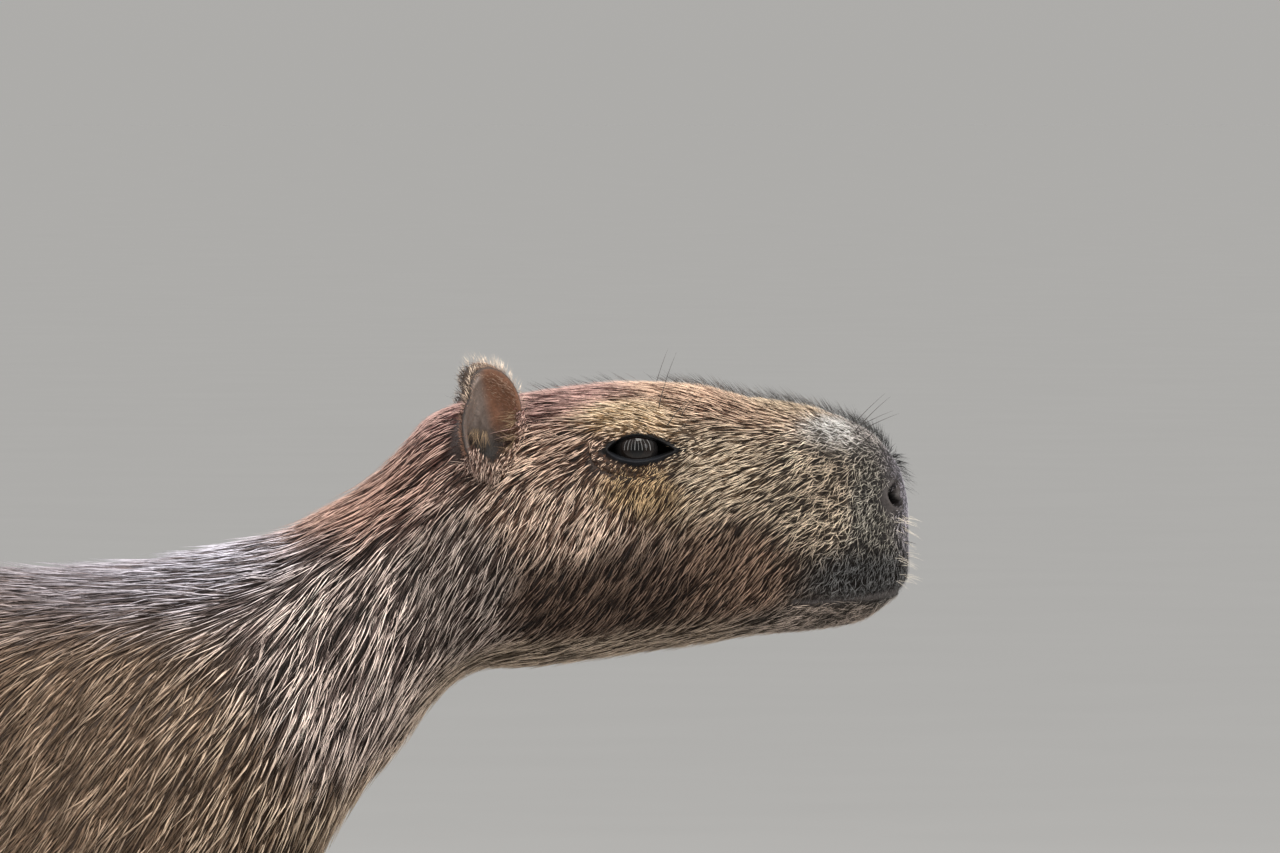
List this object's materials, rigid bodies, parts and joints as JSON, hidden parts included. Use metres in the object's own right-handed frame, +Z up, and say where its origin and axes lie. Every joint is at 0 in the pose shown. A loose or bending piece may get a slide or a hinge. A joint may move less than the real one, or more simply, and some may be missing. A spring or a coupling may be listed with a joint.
{
  "type": "capybara",
  "caption": "Life-size capybara standing on four feet, neck raised and head level, with a blunt muzzle, small round ears and webbed toes.",
  "frame": {"origin": "on the floor, under the middle of the animal", "axes": "+X towards the nose, +Y the animal's left, +Z up"},
  "size_m": [1.0701, 0.314, 0.6279],
  "materials": {
    "face_coat": "short wet hair over dark skin",
    "coat": "coarse damp hair",
    "leg_coat": "short coarse hair",
    "ear_skin": "bare dark skin with a fringe of pale hair",
    "eye": "wet and glossy",
    "foot_skin": "dark skin with thin hair",
    "claw": "dark horn",
    "bare_skin": "bare moist skin of nose, lips and lids"
  },
  "bodies": {
    "root": {"head": "face_coat", "neck": "coat", "torso": "coat", "ear_left": "ear_skin", "ear_right": "ear_skin", "eye_left": "eye", "eye_right": "eye", "fore_leg_left": "leg_coat", "fore_leg_right": "leg_coat", "hind_leg_left": "leg_coat", "hind_leg_right": "leg_coat", "fore_foot_left": "foot_skin", "fore_foot_right": "foot_skin", "hind_foot_left": "foot_skin", "hind_foot_right": "foot_skin", "fore_claw_left_1": "claw", "fore_claw_left_2": "claw", "fore_claw_left_3": "claw", "fore_claw_left_4": "claw", "fore_claw_right_1": "claw", "fore_claw_right_2": "claw", "fore_claw_right_3": "claw", "fore_claw_right_4": "claw", "hind_claw_left_1": "claw", "hind_claw_left_2": "claw", "hind_claw_left_3": "claw", "hind_claw_right_1": "claw", "hind_claw_right_2": "claw", "hind_claw_right_3": "claw"}
  },
  "joints": []
}
